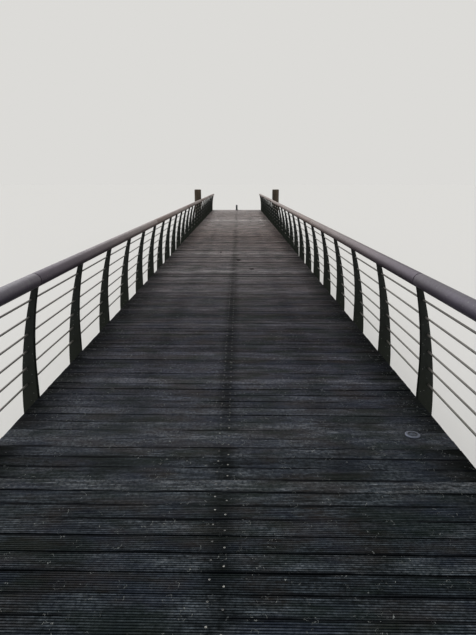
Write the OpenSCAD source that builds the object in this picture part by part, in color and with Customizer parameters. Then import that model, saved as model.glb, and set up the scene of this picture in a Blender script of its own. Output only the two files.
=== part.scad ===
/* [Bays] */
// Number of whole bays, each from one trestle to the next
bays = 6; // [2:1:6]
// Length of a bay along the jetty
bay_l = 6000; // [4800:100:6600]
// Railing posts on each side of a bay
posts_per_bay = 5; // [4:1:6]
// Distance from a bay's far end back to the centre of its last post
post_inset = 100; // [90:5:160]

/* [Deck] */
// Width of the deck, which is the length of its boards
deck_w = 3100; // [2400:50:3600]
// Height of the walking surface above the foot of the piles
deck_z = 1200; // [900:50:1600]
// Thickness of the deck boards
board_t = 45; // [32:1:60]
// Open joint between two boards, also left between two bays
board_gap = 5; // [3:0.5:8]

/* [Timber frame] */
// Width of the three long beams under the boards
beam_w = 150; // [100:10:200]
// Depth of the three long beams
beam_h = 260; // [240:10:300]
// Open joint between two beams that meet over a cap beam
beam_gap = 10; // [4:1:20]
// Width of the cap beams that lie across the piles
cap_w = 240; // [180:10:300]
// Depth of the cap beams
cap_h = 240; // [180:10:280]
// Diameter of the piles under the deck
pile_d = 250; // [180:10:320]
// Distance between the two piles of a trestle, centre to centre
pile_spread = 2300; // [1500:50:2500]
// Distance from each end of the deck to the centre of its end trestle
trestle_inset = 250; // [160:10:400]

/* [Handrail] */
// Height of the handrail's top above the boards
rail_h = 1022; // [900:1:1100]
// Outside diameter of the handrail tube
rail_d = 114.3; // [80:0.1:120]
// Wall of the handrail tube, whose bore the sleeves at its joints fill
rail_wall = 5; // [3:0.5:8]
// Distance of the tube's axis inboard of the deck's edge
rail_in = 50; // [30:5:80]
// Open joint between two lengths of tube, midway between the two plates of a bay's last post
rail_joint = 12; // [4:1:20]

/* [Posts] */
// Thickness of the two plates of a post
plate_t = 10; // [6:1:14]
// Clear space between the two plates of a post
plate_gap = 30; // [20:2:44]
// Width of a plate at its foot
foot_w = 130; // [110:5:160]
// Width of a plate where it meets the tube
seat_w = 40; // [30:2:50]
// Depth of the plates' foot below the walking surface
foot_drop = 245; // [200:5:260]
// Height above the boards where the plates' inner edge starts to lean inboard
bend_z = 200; // [100:10:300]
// Radius of the plates' lower outer corner
foot_corner_r = 70; // [40:5:90]
// Thickness of the fixing plate between a post and the outer beam
fixing_t = 10; // [6:1:16]
// Length of the fixing plate along the jetty
fixing_l = 160; // [120:10:180]
// Distance from the underside of the boards down to the fixing plate
fixing_clear = 10; // [5:1:20]

/* [Rods] */
// Number of rods between the deck and the handrail
rods = 6; // [4:1:7]
// Diameter of a rod
rod_d = 16; // [10:1:18]
// Height of the lowest rod above the boards
rod_low = 110; // [90:5:130]
// Distance from the highest rod's centre up to the underside of the tube
rod_clear = 90; // [70:5:110]
// Place of a rod across its plate, from 0 at the inner edge to 1 at the outer
rod_share = 0.64; // [0.5:0.01:0.66]

/* [Mooring piles] */
// Diameter of the two tall piles at the far end
mooring_d = 430; // [300:10:460]
// Distance of their axes from the jetty's centre line
mooring_x = 2490; // [2200:10:2700]
// Height of their tops above the boards
mooring_h = 1290; // [900:10:1500]
// Width of the bevel round their tops
mooring_bevel = 35; // [15:5:60]

/* [Deck fittings] */
// Diameter of the bollard at the far end of the deck
bollard_d = 114; // [90:2:140]
// Height of the bollard above the boards
bollard_h = 330; // [250:10:400]
// Diameter of the bollard's base flange
flange_d = 220; // [180:5:260]
// Thickness of the bollard's base flange
flange_t = 12; // [8:1:20]
// Distance of the bollard's axis from the far end of the deck
bollard_in = 150; // [140:5:300]
// Diameter of the round stud set on the deck
stud_d = 105; // [80:1:130]
// Height of the stud above the boards
stud_h = 8; // [5:0.5:12]
// Distance of the stud's centre from the deck's edge
stud_in = 250; // [200:10:400]
// Distance of the stud's centre back from the post that it is near
stud_back = 680; // [300:10:900]

/* [Hidden] */
jetty_l = bays * bay_l;
post_pitch = bay_l / posts_per_bay;
edge_x = deck_w / 2;
rail_r = rail_d / 2;
rail_z = rail_h - rail_r;
sleeve_d = rail_d - 2 * rail_wall;
beam_z = deck_z - board_t - beam_h;
cap_z = beam_z - cap_h;
fixing_h = foot_drop - board_t - fixing_clear;
tube_fn = 72;
pile_fn = 64;
rod_fn = 24;
arc_fn = 720;

// Radius of an arc that starts upright and has moved aside by dx after a rise of dz
function arc_radius(dx, dz) = (dx * dx + dz * dz) / (2 * dx);

// The two edges of a plate: u is outboard of the deck's edge, v is above the boards
seat_v = rail_h - rail_d;
inner_r = arc_radius(fixing_t + rail_in + seat_w / 2, seat_v - bend_z);
inner_u = fixing_t - inner_r;
outer_r = arc_radius(fixing_t + foot_w + rail_in - seat_w / 2, seat_v + foot_drop);
outer_u = fixing_t + foot_w - outer_r;
function inner_edge(v) = v < bend_z ? fixing_t : inner_u + sqrt(inner_r * inner_r - pow(v - bend_z, 2));
function outer_edge(v) = outer_u + sqrt(outer_r * outer_r - pow(v + foot_drop, 2));

rod_pitch = (seat_v - rod_clear - rod_low) / (rods - 1);
function rod_u(v) = inner_edge(v) + rod_share * (outer_edge(v) - inner_edge(v));

function bay_start(k) = -jetty_l / 2 + (k - 1) * bay_l;
function post_y(k, i) = bay_start(k + 1) - post_inset - i * post_pitch;
function trestle_y(k) =
    k == 1 ? bay_start(1) + trestle_inset :
    k == bays + 1 ? bay_start(k) - trestle_inset : bay_start(k);

BAY_NODES = [
    for (name = ["deck_bay_", "left_railing_", "right_railing_"]) for (k = [1:bays]) str(name, k)
];
TRESTLE_NODES = [for (name = ["cap_beam_", "piles_"]) for (k = [1:bays + 1]) str(name, k)];
LONG_NODES = ["left_handrail", "right_handrail", "left_beam", "centre_beam", "right_beam"];
END_NODES = ["left_mooring_pile", "right_mooring_pile", "end_bollard", "deck_stud"];

// The boards of one bay, laid across the beams, as one slab
module deck_bay(k) {
    color("#6f7374")
        translate([-edge_x, bay_start(k) + board_gap / 2, deck_z - board_t])
            cube([deck_w, bay_l - board_gap, board_t]);
}

// Outline of a sabre plate: outboard is +x, up is +y, the deck's top edge is at the origin
module sabre_outline() {
    difference() {
        intersection() {
            translate([outer_u, -foot_drop]) circle(r = outer_r, $fn = arc_fn);
            translate([-rail_in - rail_d, -foot_drop])
                square([rail_in + rail_d + fixing_t + foot_w, foot_drop + rail_z]);
        }
        translate([inner_u, bend_z]) circle(r = inner_r, $fn = arc_fn);
        translate([-rail_in - rail_d, -foot_drop])
            square([rail_in + rail_d + fixing_t, foot_drop + bend_z]);
        translate([-rail_in, rail_z]) circle(r = rail_r, $fn = tube_fn);
        translate([fixing_t + foot_w - foot_corner_r, -foot_drop]) corner_waste(foot_corner_r);
    }
}

// What is cut away to round a lower outer corner to radius r
module corner_waste(r) {
    difference() {
        square(r);
        translate([0, r]) circle(r = r, $fn = tube_fn);
    }
}

// One post on the right side: two sabre plates on a fixing plate
module post(y) {
    for (side = [-1, 1])
        translate([edge_x, y + (side * (plate_gap + plate_t) + plate_t) / 2, deck_z])
            rotate([90, 0, 0]) linear_extrude(plate_t) sabre_outline();
    translate([edge_x, y - fixing_l / 2, deck_z - foot_drop])
        cube([fixing_t, fixing_l, fixing_h]);
}

// The rods of one bay on the right side, which follow the bow of the plates
module rod_set(k) {
    for (i = [0:rods - 1]) {
        v = rod_low + i * rod_pitch;
        translate([edge_x + rod_u(v), bay_start(k), deck_z + v])
            rotate([-90, 0, 0]) cylinder(h = bay_l, d = rod_d, $fn = rod_fn);
    }
}

// One bay of the right railing, with a closing post at the near end of the first
module right_railing(k) {
    color("#5b625c") {
        for (i = [0:posts_per_bay - 1]) post(post_y(k, i));
        if (k == 1) post(bay_start(1) + post_inset);
        rod_set(k);
    }
}

module left_railing(k) {
    mirror([1, 0, 0]) right_railing(k);
}

// The right handrail: lengths of tube that meet over sleeves, above the last post of each bay
module right_handrail() {
    color("#8b8a90")
        translate([edge_x - rail_in, -jetty_l / 2, deck_z + rail_z])
            rotate([-90, 0, 0]) difference() {
                cylinder(h = jetty_l, d = rail_d, $fn = tube_fn);
                for (k = [1:bays - 1])
                    translate([0, 0, k * bay_l - post_inset - rail_joint / 2]) joint_waste();
            }
}

// The ring of air round the sleeve at one joint in the tube
module joint_waste() {
    difference() {
        cylinder(h = rail_joint, d = 2 * rail_d, $fn = tube_fn);
        translate([0, 0, -rail_joint]) cylinder(h = 3 * rail_joint, d = sleeve_d, $fn = tube_fn);
    }
}

module left_handrail() {
    mirror([1, 0, 0]) right_handrail();
}

// A line of beams, one to a bay, with its middle at x
module beam_line(x) {
    color("#5d5348")
        for (k = [1:bays])
            translate([x - beam_w / 2, bay_start(k) + beam_gap / 2, beam_z])
                cube([beam_w, bay_l - beam_gap, beam_h]);
}

module cap_beam(k) {
    color("#554c42")
        translate([-edge_x, trestle_y(k) - cap_w / 2, cap_z]) cube([deck_w, cap_w, cap_h]);
}

module piles(k) {
    color("#4b463a")
        for (side = [-1, 1])
            translate([side * pile_spread / 2, trestle_y(k), 0])
                cylinder(h = cap_z, d = pile_d, $fn = pile_fn);
}

// A tall pile beside the far end of the deck, its top bevelled
module right_mooring_pile() {
    color("#3e3d31")
        translate([mooring_x, jetty_l / 2 - mooring_d / 2, 0]) {
            cylinder(h = deck_z + mooring_h - mooring_bevel, d = mooring_d, $fn = pile_fn);
            translate([0, 0, deck_z + mooring_h - mooring_bevel])
                cylinder(h = mooring_bevel, d1 = mooring_d, d2 = mooring_d - 2 * mooring_bevel, $fn = pile_fn);
        }
}

module left_mooring_pile() {
    mirror([1, 0, 0]) right_mooring_pile();
}

// A round bollard with a domed top on a flange at the far end of the deck
module end_bollard() {
    color("#55585a")
        translate([0, jetty_l / 2 - bollard_in, deck_z]) {
            cylinder(h = flange_t, d = flange_d, $fn = tube_fn);
            cylinder(h = bollard_h - bollard_d / 2, d = bollard_d, $fn = tube_fn);
            translate([0, 0, bollard_h - bollard_d / 2]) sphere(d = bollard_d, $fn = tube_fn);
        }
}

// A low round stud on the boards, with a ring turned into its top
module deck_stud() {
    ring_r = stud_d / 4;
    ring_w = stud_d / 16;
    ring_depth = stud_h / 3;
    color("#83868f")
        translate([edge_x - stud_in, post_y(1, 0) - stud_back, deck_z])
            rotate_extrude($fn = tube_fn) difference() {
                union() {
                    square([stud_d / 2 - stud_h, stud_h]);
                    intersection() {
                        translate([stud_d / 2 - stud_h, 0]) circle(r = stud_h, $fn = rod_fn);
                        square([stud_d, stud_h]);
                    }
                }
                translate([ring_r, stud_h - ring_depth]) square([ring_w, stud_h]);
            }
}

for (k = [1:bays]) {
    deck_bay(k);
    left_railing(k);
    right_railing(k);
}
for (k = [1:bays + 1]) {
    cap_beam(k);
    piles(k);
}
left_handrail();
right_handrail();
beam_line(beam_w / 2 - edge_x);  // left_beam
beam_line(0);  // centre_beam
beam_line(edge_x - beam_w / 2);  // right_beam
left_mooring_pile();
right_mooring_pile();
end_bollard();
deck_stud();
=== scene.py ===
# %% [markdown]
# # A wooden jetty, dressed piece by piece
# The construction of this jetty already exists as exact solids: decks, railings, beams and piles, all at
# their real size. Here each of them gets the look of the real thing. The solids are loaded as a fixed frame
# and never moved. Where a solid is too plain, such as one slab for 48 boards, a finer piece is modelled in
# its place and stands for it.

# %% Load the fixed frame
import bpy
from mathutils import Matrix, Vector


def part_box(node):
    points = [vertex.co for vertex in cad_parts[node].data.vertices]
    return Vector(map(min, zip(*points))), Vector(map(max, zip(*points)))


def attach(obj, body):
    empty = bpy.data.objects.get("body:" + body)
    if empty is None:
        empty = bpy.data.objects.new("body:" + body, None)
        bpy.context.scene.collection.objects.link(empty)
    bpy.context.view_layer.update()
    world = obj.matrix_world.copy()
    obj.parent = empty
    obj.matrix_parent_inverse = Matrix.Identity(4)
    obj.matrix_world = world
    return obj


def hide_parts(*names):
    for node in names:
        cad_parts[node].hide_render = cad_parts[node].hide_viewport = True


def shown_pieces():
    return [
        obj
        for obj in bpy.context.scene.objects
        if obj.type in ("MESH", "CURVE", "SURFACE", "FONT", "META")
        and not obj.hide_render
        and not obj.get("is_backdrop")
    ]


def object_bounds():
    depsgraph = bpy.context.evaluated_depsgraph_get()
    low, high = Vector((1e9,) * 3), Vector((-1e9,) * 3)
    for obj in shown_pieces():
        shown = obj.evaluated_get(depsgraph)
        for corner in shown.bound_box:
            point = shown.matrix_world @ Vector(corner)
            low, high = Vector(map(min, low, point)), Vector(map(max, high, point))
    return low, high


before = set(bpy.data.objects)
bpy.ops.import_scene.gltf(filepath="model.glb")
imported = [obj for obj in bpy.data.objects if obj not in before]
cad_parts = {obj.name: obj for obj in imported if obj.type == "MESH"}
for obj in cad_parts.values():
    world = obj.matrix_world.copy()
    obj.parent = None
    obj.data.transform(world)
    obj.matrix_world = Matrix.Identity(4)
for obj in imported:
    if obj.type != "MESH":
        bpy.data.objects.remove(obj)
cad_low, cad_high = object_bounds()
print("the frame holds", len(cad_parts), "nodes, from", list(cad_low), "to", list(cad_high))

# %% [markdown]
# ## The measures that everything hangs on
# The jetty lies along Y, with its near end at the lowest Y and the foot of its piles at height 0. The
# heights and widths are read off the solids, so that nothing here can drift away from them. The spacing of
# the posts and boards is written down, because one slab or one railing node can't tell it.

# %% Read the main sizes from the solids
import math
import random
from functools import partial
import bpy
from mathutils import Matrix, Vector

deck_low, deck_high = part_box("deck_bay_1")
deck_z = deck_high.z
edge_x = deck_high.x
near_y, far_y = cad_low.y, cad_high.y
bays = 6
bay_l = (far_y - near_y) / bays
post_pitch = 1.2
post_inset = 0.1
print(f"walking surface at {deck_z:.3f} m, deck {2 * edge_x:.2f} m wide, {bays} bays of {bay_l:.2f} m")

# %% [markdown]
# ## The camera
# The photograph was taken by someone standing on the boards over the first bay, looking straight down the
# jetty with the lens tipped down a little. How far it was tipped follows from the row at which the deck's
# edges would meet: that row is the horizon, and it lies above the middle of the picture. A lens of 28 mm
# equivalent is 513 pixels here.

# %% Stand a camera on the deck
photo_h = 635
focal_px = 513
horizon_row = 182.8
eye_height = 1.70
camera_x = 0.084
camera_to_post = 3.93
camera_y = near_y + bay_l - post_inset - camera_to_post
tipped_down = math.atan((photo_h / 2 - horizon_row) / focal_px)
bpy.ops.object.camera_add(
    location=(camera_x, camera_y, deck_z + eye_height), rotation=(math.pi / 2 - tipped_down, 0, 0))
camera = bpy.context.object
camera.data.sensor_width = 36
camera.data.lens = camera.data.sensor_width * focal_px / photo_h
camera.data.clip_end = 1000
bpy.context.scene.camera = camera
print(f"lens {camera.data.lens:.2f} mm, tipped down {math.degrees(tipped_down):.2f} degrees")

# %% [markdown]
# ## Colours and nodes
# A colour is written as the hex value that a picture of the finish would show, and one function turns it
# into the linear numbers that a shader wants. Another small function adds any node. What a node should do
# is named, and its sockets get plain values, colours or other nodes, so that a material reads like a list.

# %% Helpers for every material
def linear(hex_colour):
    """The linear RGBA of an sRGB hex colour."""
    shares = [int(hex_colour[i:i + 2], 16) / 255 for i in (1, 3, 5)]
    return (*[s / 12.92 if s <= 0.04045 else ((s + 0.055) / 1.055) ** 2.4 for s in shares], 1.0)


def add_to(tree, kind, *values, **settings):
    """Adds a node with these settings and fills the sockets that it uses, in order or by name in a dict.
    A value is a number, a hex colour, one output of a node, or a node, whose first output is then meant."""
    node = tree.nodes.new("ShaderNode" + kind)
    for name, setting in settings.items():
        setattr(node, name, setting)
    sockets = [socket for socket in node.inputs if socket.enabled]
    if values and isinstance(values[0], dict):
        sockets, values = [node.inputs[name] for name in values[0]], values[0].values()
    for socket, value in zip(sockets, values):
        if isinstance(value, str):
            value = linear(value)
        if isinstance(value, bpy.types.Node):
            value = next(output for output in value.outputs if output.enabled)
        if isinstance(value, bpy.types.NodeSocket):
            tree.links.new(value, socket)
        else:
            socket.default_value = value
    return node


def emptied(owner):
    """Clears the nodes of a material or world and returns the function that adds nodes to it."""
    owner.use_nodes = True
    owner.node_tree.nodes.clear()
    return partial(add_to, owner.node_tree)


def new_material(name):
    """A material with no nodes, and the function that adds them."""
    material = bpy.data.materials.new(name)
    return material, emptied(material)


print("weathered board grey is", [round(c, 3) for c in linear("#4d5155")])

# %% [markdown]
# ## A plain pale studio
# The floor is one big pale sheet under the feet of the piles. The world lights the jetty evenly from all
# round, and what the camera and the reflections see of it is a paler tone, so that the background is light
# and no lamp has to be. Two wide, soft suns shape the pieces: the stronger comes from the far left, the
# weaker from the near right. Their strength is chosen so that a level surface comes out about as bright as
# its colour is written.

# %% Floor, world and lamps
bpy.ops.mesh.primitive_plane_add(size=3000)
floor = bpy.context.object
floor.name = "studio_floor"
floor_paint, add = new_material("pale_matt_floor")
add("OutputMaterial", add("BsdfPrincipled", {
    "Base Color": "#dedcd7", "Roughness": 0.9, "Specular IOR Level": 0.0}))
floor.data.materials.append(floor_paint)
floor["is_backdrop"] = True

world = bpy.data.worlds.new("studio_world")
bpy.context.scene.world = world
add = emptied(world)
rays = add("LightPath").outputs
seen = add("Math", rays["Is Camera Ray"], rays["Is Glossy Ray"], operation="MAXIMUM")
seen = add("Math", seen, rays["Is Transmission Ray"], operation="MAXIMUM")
lighting = add("Background", {"Color": "#f4f6fa", "Strength": 0.55})
backdrop = add("Background", {"Color": "#dcdbd8", "Strength": 1.0})
add("OutputWorld", add("MixShader", seen, lighting, backdrop))

for name, strength, spread, towards in (
        ("key_sun", 1.7, 70, Vector((0.45, -0.75, -0.85))),
        ("fill_sun", 0.5, 80, Vector((-0.5, 0.6, -0.8)))):
    aim = towards.to_track_quat("-Z", "Y").to_euler()
    bpy.ops.object.light_add(type="SUN", location=(0, 0, 12), rotation=aim)
    lamp = bpy.context.object
    lamp.name = name
    lamp.data.energy = strength
    lamp.data.angle = math.radians(spread)
bpy.context.scene.view_settings.view_transform = "Standard"
print("floor, world and two soft suns are in place")

# %% [markdown]
# ## Working the way a hand would
# In edit mode an operator acts on whatever is selected. A script has no mouse, so points, edges and faces
# are picked by a rule about where they are and which way they face. Every piece starts as one of the simple
# forms, is named, and is then pulled, cut and bevelled into shape.

# %% Start a piece and pick its parts
def select_only(*pieces):
    """Leaves edit mode, selects these objects and nothing else, and makes the first one active."""
    if bpy.context.object and bpy.context.object.mode == "EDIT":
        bpy.ops.object.mode_set(mode="OBJECT")
    bpy.ops.object.select_all(action="DESELECT")
    for piece in pieces:
        piece.select_set(True)
    bpy.context.view_layer.objects.active = pieces[0]


def primitive(kind, name, stretch=None, **settings):
    """Adds a primitive, names and stretches it, and puts its place into its mesh."""
    getattr(bpy.ops.mesh, f"primitive_{kind}_add")(**settings)
    piece = bpy.context.object
    piece.name = piece.data.name = name
    piece.scale = stretch or piece.scale
    bpy.ops.object.transform_apply(location=True, rotation=True, scale=True)
    return piece


def pick(piece, kind, rule=lambda centre, direction: True):
    """Enters edit mode with the VERTs, EDGEs or FACEs selected whose centre and direction meet the rule."""
    bpy.ops.object.mode_set(mode="EDIT")
    bpy.ops.mesh.select_mode(type=kind)
    bpy.ops.mesh.select_all(action="DESELECT")
    bpy.ops.object.mode_set(mode="OBJECT")
    mesh = piece.data
    if kind == "VERT":
        for point in mesh.vertices:
            point.select = rule(point.co, point.normal)
    elif kind == "EDGE":
        for edge in mesh.edges:
            a, b = (mesh.vertices[i].co for i in edge.vertices)
            edge.select = rule((a + b) / 2, b - a)
    else:
        for face in mesh.polygons:
            face.select = rule(face.center, face.normal)
    bpy.ops.object.mode_set(mode="EDIT")


def extrude(x, y, z):
    """Extrudes what is selected by this much."""
    bpy.ops.mesh.extrude_region_move(TRANSFORM_OT_translate={"value": (x, y, z)})


lying_x, lying_y = (0, math.pi / 2, 0), (math.pi / 2, 0, 0)    # how a cylinder is turned to lie along X or Y
hair = 0.001                                                   # a point this near to a line counts as on it
print("helpers to start a piece and to pick its parts are ready")

# %% [markdown]
# A few more small helpers finish a piece with a rounded edge and soft shading, copy it to other places with
# a mesh of its own, and join the copies into one piece. The last one gives that piece its material and
# lets it ride on the frame, in place of the solids that it stands for.

# %% Finish, copy and join
def shade(piece, degrees=38):
    """Shades a piece smooth, apart from edges that are sharper than this."""
    select_only(piece)
    bpy.ops.object.shade_smooth_by_angle(angle=math.radians(degrees))


def soften(piece, width, segments=1):
    """Rounds every edge that is sharper than 40 degrees, then shades the piece."""
    select_only(piece)
    bevel = piece.modifiers.new("bevel", "BEVEL")
    bevel.width, bevel.segments = width, segments
    bevel.limit_method, bevel.angle_limit = "ANGLE", math.radians(40)
    bpy.ops.object.modifier_apply(modifier=bevel.name)
    shade(piece)


def copied(model, *moves):
    """A copy of model with a mesh of its own, for each matrix in moves."""
    copies = []
    for move in moves:
        twin = model.copy()
        twin.data = model.data.copy()
        twin.data.transform(move)
        bpy.context.scene.collection.objects.link(twin)
        copies.append(twin)
    return copies


def joined(parts, name):
    """Joins parts into one piece with this name."""
    select_only(*parts)
    if len(parts) > 1:
        bpy.ops.object.join()
    piece = bpy.context.object
    piece.name = piece.data.name = name
    return piece


def thrown_away(*pieces):
    """Deletes models that have been copied and aren't needed any more."""
    for piece in pieces:
        bpy.data.objects.remove(piece)


def fitted(parts, name, material, slot, *nodes):
    """Joins parts into a finished piece with its material and body, which stands for these solids. The slot is
    not used.
    """
    piece = joined(parts, name)
    piece.data.materials.clear()
    piece.data.materials.append(material)
    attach(piece, "root")
    if nodes:
        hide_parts(*nodes)


at = Matrix.Translation
print("helpers to finish, copy and join pieces are ready")

# %% [markdown]
# ## The finish of the deck: weathered hardwood
# The boards are a dense dark hardwood that has lain in rain for years. The sun takes the colour out and
# leaves a cool grey on the crowns of the ribs, and each rib greys in streaks of its own. Along the deck the
# colour carries painted light: near the shore the boards are painted dark as shade, a little further out
# they are a cool lavender grey, and far out a paler, warmer grey paints in the sky that a low view sees
# reflected. All of it is noise that is stretched along the board. Values in each board's mesh steer it:
# where a point was before the board was laid, so that the streaks follow the ribs, which rib it is on, on
# which side of the rib, and how deep in a groove it lies, where dirt and painted shade gather, then the
# board's tone and dampness and a shift that sets its grain apart.

# %% Grey streaks on the deck boards
band_l, band_w = 0.40, 0.030          # two or three ribs side by side that weathered alike, in metres
streak_l = 0.16                       # one rib greys in streaks of this length, each rib by itself
fibre_l, fibre_w = 0.30, 0.0035       # bundles of fibres, drawn as coarse as they need to show
pore_l, pore_w = 0.030, 0.0040        # clusters of open pores, which break up the streaks
speck_size = 0.020                    # crumbs of dirt and lichen that roughen all of the surface
shade_fades_from_y, painted_light_full_at_y = -13.5, 3.0     # painted shade near the shore, painted sky reflection that grows far out
cool_reflection_at_y = -11.5                     # where the painted sky reflection is a cool, lavender grey

board_wood, add = new_material("weathered_hardwood_decking")
place = add("TexCoord").outputs["Object"]
position = add("SeparateXYZ", place).outputs
own_place = add("Attribute", attribute_name="board_place").outputs["Vector"]
tone, shift, dirt_and_groove_shade, board_damp, rib_number, rib_side = [
    add("Attribute", attribute_name="board_" + value).outputs["Fac"]
    for value in ("tone", "shift", "dirt_and_groove_shade", "damp_and_shade", "rib", "rib_side")]
rib_shift = add("Math", rib_number, 5.3, shift, operation="MULTIPLY_ADD")

noises = {}
for name, length, width, detail, rough, own_shift in (
        ("bands", band_l, band_w, 3.0, 0.6, shift), ("streaks", streak_l, 0.1, 4.0, 0.7, rib_shift),
        ("fibres", fibre_l, fibre_w, 4.0, 0.65, shift), ("pores", pore_l, pore_w, 2.0, 0.6, shift),
        ("blotches", 0.30, 0.07, 5.0, 0.7, shift), ("specks", speck_size, speck_size, 3.0, 0.7, shift),
        ("rims", 0.9, 0.09, 3.0, 0.6, shift)):
    stretched = add("Mapping", {"Vector": own_place, "Scale": (1 / length, 1 / width, 1 / width)})
    noises[name] = add("TexNoise", {"Vector": stretched, "W": own_shift, "Scale": 1.0, "Detail": detail,
                                    "Roughness": rough}, noise_dimensions="4D")
grey = 0.0
for name, share in (("bands", 0.18), ("streaks", 0.40), ("fibres", 0.24), ("pores", 0.18)):
    grey = add("Math", noises[name], share, grey, operation="MULTIPLY_ADD")
grey = add("MapRange", grey, 0.43, 0.60)
wood = add("Mix", grey, "#101618", "#5b6369", data_type="RGBA")
# Along the deck the colour is painted light: dark near the shore as painted shade, then a cool lavender grey and
# a paler, warmer grey far out as painted sky reflection
for from_y, to_y, dark, pale in (
        (shade_fades_from_y, cool_reflection_at_y, "#212126", "#696c79"), (cool_reflection_at_y, painted_light_full_at_y, "#584b46", "#b49d94")):
    reflected_tone = add("Mix", grey, dark, pale, data_type="RGBA")
    wood = add("Mix", add("MapRange", position["Y"], from_y, to_y), wood, reflected_tone, data_type="RGBA")
bright = add("Math", add("MapRange", noises["blotches"], 0.3, 0.7, 0.65, 1.35), tone, operation="MULTIPLY")
bright = add("Math", bright, add("MapRange", noises["specks"], 0.35, 0.65, 0.4, 1.7), operation="MULTIPLY")
paler = add("MapRange", bright, 0.7, 2.0, 1.15, 0.45)
wood = add("HueSaturation", {"Color": wood, "Value": bright, "Saturation": paler})
print("decking streaks are one rib wide and", streak_l, "m long")

# %% [markdown]
# Bluish, brown and green patches run over several boards: cool bare wood, brown damp and green algae. Damp
# keeps the wood dull over the middle beam and, faintly, halfway between the beams. Along the deck's edges the
# darkening is damp and painted shade under the railing, and near the shore these bands are painted stronger
# as shade. The grooves and the strips along the joints are painted almost black, wet dirt and painted shade
# in these recesses together, and three spots have gone soft and dark.

# %% Tints, damp, dirt and painted shade on the boards
tints_per_m = (2.2, 5.0, 1.0)         # patches of tint to a metre, across the deck, along it and upwards
for tint, offset, low, high, share in (
        ("#242a38", 0.0, 0.48, 0.62, 0.5), ("#332b24", 7.3, 0.48, 0.64, 0.5),
        ("#18231b", 15.1, 0.49, 0.62, 0.55)):
    moved = add("Mapping", {"Vector": place, "Location": (offset, offset, 0), "Scale": tints_per_m})
    patch = add("TexNoise", {"Vector": moved, "Scale": 1.0, "Detail": 4.0, "Roughness": 0.6})
    wood = add("Mix", add("MapRange", patch, low, high, 0.0, share), wood, tint, data_type="RGBA")

# Each row has a distance, where the wood is dry, where it is darkest, and how dark it is there; the row for the
# deck's edges also paints the shade under the railing
aside = add("Math", position["X"], operation="ABSOLUTE")
halfway = add("Math", aside, edge_x / 2 - 0.03, operation="SUBTRACT")
from_halfway = add("Math", halfway, operation="ABSOLUTE")
damp_and_shade = 0.0
for distance, dry_at, wet_at, share in (
        (aside, 0.11, 0.02, 0.70), (from_halfway, 0.16, 0.04, 0.25),
        (aside, edge_x - 0.37, edge_x - 0.05, 0.95)):
    damp_and_shade = add("Math", add("MapRange", distance, dry_at, wet_at, 0.0, share), damp_and_shade, operation="MAXIMUM")
uneven = add("MapRange", noises["blotches"], 0.3, 0.7, 1.3, 0.6)
# Near the shore the damp bands are painted stronger, as shade
darker_near_shore = add("MapRange", add("MapRange", position["Y"], shade_fades_from_y, painted_light_full_at_y), 0.0, 1.0, 1.0, 0.5)
for share in (uneven, darker_near_shore, board_damp):
    damp_and_shade = add("Math", damp_and_shade, share, operation="MULTIPLY", use_clamp=True)

# Stretches of a board's long edges are darkened for the width of a rib, dirt and painted joint shade together,
# and the soft spots are oval
from_middle = add("Math", add("SeparateXYZ", own_place).outputs["Y"], operation="ABSOLUTE")
stretches = add("MapRange", noises["rims"], 0.52, 0.44, 0.0, 0.95)
rim_dirt_and_shade = add("Math", add("MapRange", from_middle, 0.045, 0.057), stretches, operation="MULTIPLY")
rotten = 0.0
for spot_x, spot_y, spot_w, spot_l in (
        (0.10, -4.40, 0.10, 0.26), (0.36, -5.65, 0.11, 0.14), (-0.35, -3.02, 0.05, 0.20)):
    x, y = 2 / spot_w, 2 / spot_l
    centred = add("Mapping", {"Vector": place, "Location": (-spot_x * x, -spot_y * y, 0), "Scale": (x, y, 0)})
    from_spot = add("VectorMath", centred, operation="LENGTH")
    rotten = add("Math", add("MapRange", from_spot, 1.1, 0.8), rotten, operation="MAXIMUM")
# The grooves are painted almost black: wet dirt and painted shade in the recesses
soil_and_groove_shade = add("Math", dirt_and_groove_shade, 0.92, operation="MULTIPLY")
# The damp bands darken the wood, with painted shade along the deck's edges and near the shore
for cover, colour in ((damp_and_shade, "#0d100d"), (rim_dirt_and_shade, "#08090c"), (rotten, "#14100e"), (soil_and_groove_shade, "#090f11")):
    wood = add("Mix", cover, wood, colour, data_type="RGBA")
print("so far the decking finish has", len(board_wood.node_tree.nodes), "nodes")

# %% [markdown]
# Lichen and droppings dry on the boards as pale crumbs and curled wisps. Both come from one pattern of
# cells. A crumb lies at the middle of some cells, and a wisp is a thin broken arc round the middle of
# others. Noise pulls the cells about, so that no arc is round, and decides where flecks crowd together.

# %% Crumbs and wisps on the boards
fleck_gap = 0.085                     # spacing of the cells that may hold a fleck
wisp_r, wisp_w = 0.026, 0.0016        # a wisp is an arc of up to this radius, and about this wide
warp = 0.06                           # noise moves the cells by a few tenths of this
crowds_per_m = 1.6                    # patches to a metre in which flecks crowd together
curl = add("TexNoise", {"Vector": place, "Scale": 1 / wisp_r, "Detail": 2.0})
warped = add("VectorMath", curl.outputs["Color"], (warp, warp, 0), place, operation="MULTIPLY_ADD")
cells = add("TexVoronoi", {"Vector": warped, "Scale": 1 / fleck_gap}, voronoi_dimensions="2D")
picked = add("SeparateColor", cells.outputs["Color"]).outputs
crowd = add("TexNoise", {"Vector": place, "Scale": crowds_per_m, "Detail": 2.0})
crumb = add("MapRange", cells, 0.025, 0.045, 1.0, 0.0)
arc_r = add("MapRange", picked["Blue"], 0.0, 1.0, 0.3 * wisp_r / fleck_gap, wisp_r / fleck_gap)
arc_r = add("Math", arc_r, add("MapRange", curl, 0.4, 0.7, 0.6, 1.6), operation="MULTIPLY")
off_arc = add("Math", add("Math", cells, arc_r, operation="SUBTRACT"), operation="ABSOLUTE")
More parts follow.
